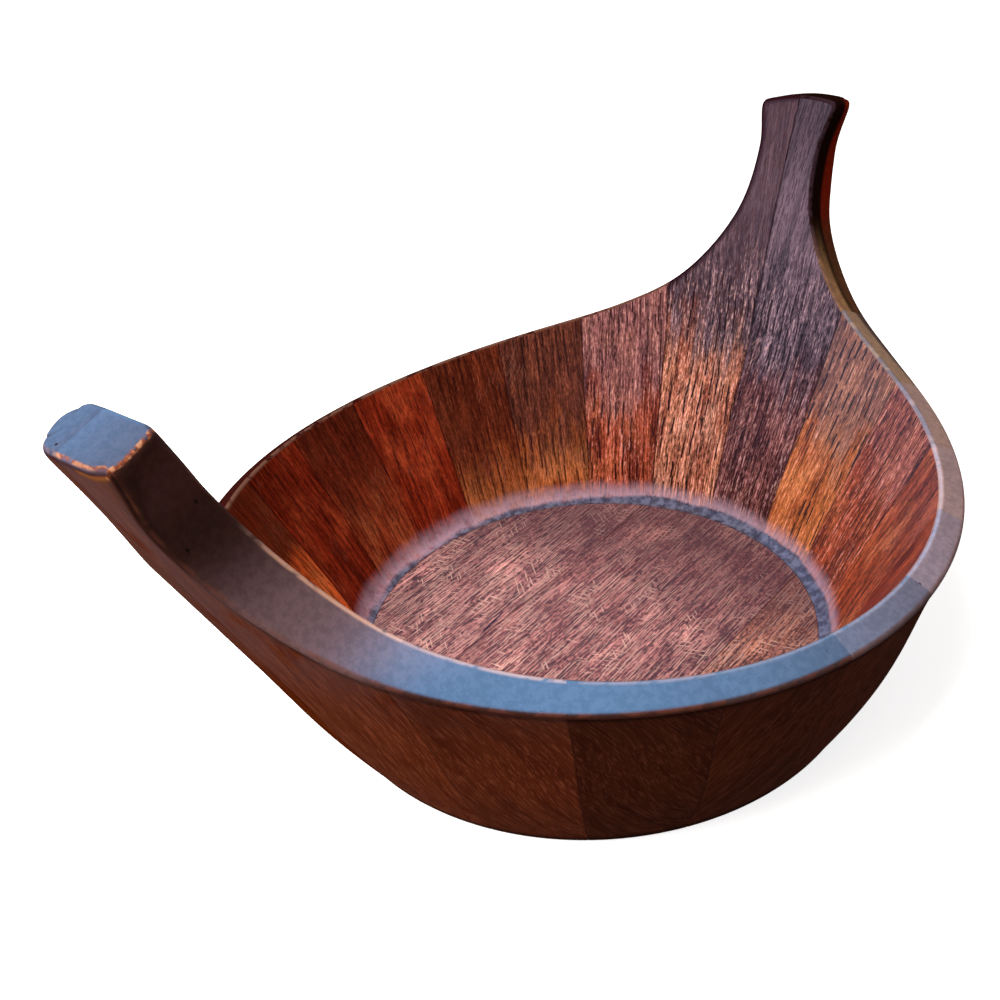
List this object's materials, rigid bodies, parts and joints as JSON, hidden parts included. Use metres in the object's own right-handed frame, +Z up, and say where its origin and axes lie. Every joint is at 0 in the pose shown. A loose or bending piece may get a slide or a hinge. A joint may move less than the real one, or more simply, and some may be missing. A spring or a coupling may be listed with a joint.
{
  "type": "staved bowl",
  "caption": "Round wooden bowl of glued upright staves on a flat board floor, its wall sweeping up at opposite ends into tall, waisted handles.",
  "frame": {"origin": "on the table, under the middle of the foot", "axes": "+Z up, +X through the two handles, +Y across the bowl"},
  "size_m": [0.3804, 0.276, 0.1875],
  "materials": {
    "wood_pale": "oiled teak, orange-brown",
    "wood_brown": "oiled teak, mid brown",
    "wood_red": "oiled teak, red-brown",
    "wood_dark": "oiled teak, dark brown",
    "wood_floor": "worn teak, dull mauve-brown"
  },
  "bodies": {
    "root": {"handle_stave_01": "wood_pale", "stave_02": "wood_dark", "stave_03": "wood_red", "stave_04": "wood_brown", "stave_05": "wood_pale", "stave_06": "wood_dark", "stave_07": "wood_red", "stave_08": "wood_brown", "stave_09": "wood_pale", "handle_stave_10": "wood_dark", "handle_stave_11": "wood_red", "stave_12": "wood_brown", "stave_13": "wood_pale", "stave_14": "wood_dark", "stave_15": "wood_red", "stave_16": "wood_brown", "stave_17": "wood_pale", "stave_18": "wood_dark", "stave_19": "wood_red", "handle_stave_20": "wood_brown", "floor_board_1": "wood_floor", "floor_board_2": "wood_floor", "floor_board_3": "wood_floor"}
  },
  "joints": []
}
